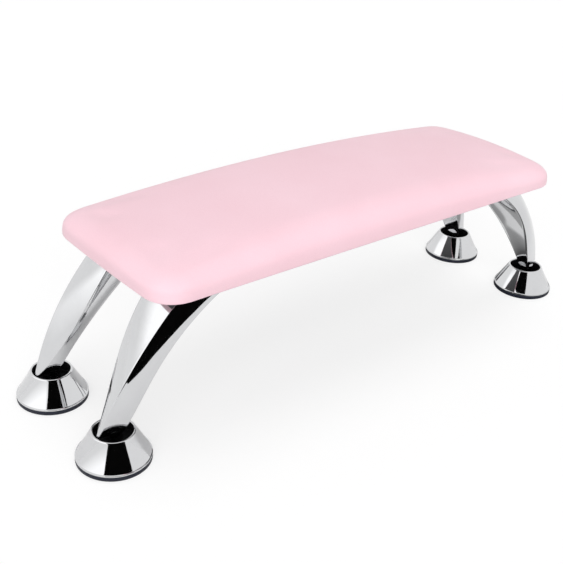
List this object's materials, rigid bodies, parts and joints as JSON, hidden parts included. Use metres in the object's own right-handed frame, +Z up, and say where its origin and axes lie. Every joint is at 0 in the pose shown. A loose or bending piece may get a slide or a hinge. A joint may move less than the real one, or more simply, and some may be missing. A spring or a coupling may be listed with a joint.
{
  "type": "manicure hand rest",
  "caption": "Low hand rest for manicures: a long crowned cushion in pale pink leatherette on curved chromed legs, each standing in a screw-levelled cone foot.",
  "frame": {"origin": "on the table, under the middle of the cushion", "axes": "+X along the cushion, +Y across it to the rear, +Z up"},
  "size_m": [0.418, 0.122, 0.1247],
  "materials": {
    "pink_leather": "soft matt pale pink",
    "foam": "open-cell foam",
    "board": "sawn board",
    "black_liner": "black dust cover",
    "staple_wire": "galvanised wire",
    "zinc_nut": "zinc plated",
    "zinc_screw": "zinc plated",
    "chrome": "bright polished chrome",
    "stud_steel": "zinc plated",
    "pad_rubber": "dark blue-black, satin"
  },
  "bodies": {
    "rest": {"cover": "pink_leather", "foam_core": "foam", "base_board": "board", "bottom_liner": "black_liner", "cover_staples": "staple_wire", "liner_staples": "staple_wire", "tee_nuts": "zinc_nut", "leg_screws": "zinc_screw", "leg_front_left": "chrome", "leg_front_right": "chrome", "leg_rear_left": "chrome", "leg_rear_right": "chrome"},
    "pad_front_left": {"foot_pad_front_left": "pad_rubber"},
    "cone_front_left": {"foot_cone_front_left": "chrome", "foot_stud_front_left": "stud_steel", "lock_nut_front_left": "stud_steel"},
    "pad_front_right": {"foot_pad_front_right": "pad_rubber"},
    "cone_front_right": {"foot_cone_front_right": "chrome", "foot_stud_front_right": "stud_steel", "lock_nut_front_right": "stud_steel"},
    "pad_rear_left": {"foot_pad_rear_left": "pad_rubber"},
    "cone_rear_left": {"foot_cone_rear_left": "chrome", "foot_stud_rear_left": "stud_steel", "lock_nut_rear_left": "stud_steel"},
    "pad_rear_right": {"foot_pad_rear_right": "pad_rubber"},
    "cone_rear_right": {"foot_cone_rear_right": "chrome", "foot_stud_rear_right": "stud_steel", "lock_nut_rear_right": "stud_steel"}
  },
  "joints": [
    {"name": "level_front_left", "type": "slide", "parent": "rest", "child": "pad_front_left", "axis": [0, 0, -1], "range_m": [0, 0.005]},
    {"name": "turn_front_left", "type": "hinge", "parent": "pad_front_left", "child": "cone_front_left", "pos_m": [-0.187, -0.03739, 0.01], "axis": [0, 0, -1], "range_deg": [0, 2250]},
    {"name": "level_front_right", "type": "slide", "parent": "rest", "child": "pad_front_right", "axis": [0, 0, -1], "range_m": [0, 0.005]},
    {"name": "turn_front_right", "type": "hinge", "parent": "pad_front_right", "child": "cone_front_right", "pos_m": [0.187, -0.03739, 0.01], "axis": [0, 0, -1], "range_deg": [0, 2250]},
    {"name": "level_rear_left", "type": "slide", "parent": "rest", "child": "pad_rear_left", "axis": [0, 0, -1], "range_m": [0, 0.005]},
    {"name": "turn_rear_left", "type": "hinge", "parent": "pad_rear_left", "child": "cone_rear_left", "pos_m": [-0.187, 0.03739, 0.01], "axis": [0, 0, -1], "range_deg": [0, 2250]},
    {"name": "level_rear_right", "type": "slide", "parent": "rest", "child": "pad_rear_right", "axis": [0, 0, -1], "range_m": [0, 0.005]},
    {"name": "turn_rear_right", "type": "hinge", "parent": "pad_rear_right", "child": "cone_rear_right", "pos_m": [0.187, 0.03739, 0.01], "axis": [0, 0, -1], "range_deg": [0, 2250]}
  ],
  "couplings": [
    {"joint": "level_front_left", "follows": "turn_front_left", "m_per_rad": 0.000127},
    {"joint": "level_front_right", "follows": "turn_front_right", "m_per_rad": 0.000127},
    {"joint": "level_rear_left", "follows": "turn_rear_left", "m_per_rad": 0.000127},
    {"joint": "level_rear_right", "follows": "turn_rear_right", "m_per_rad": 0.000127}
  ]
}
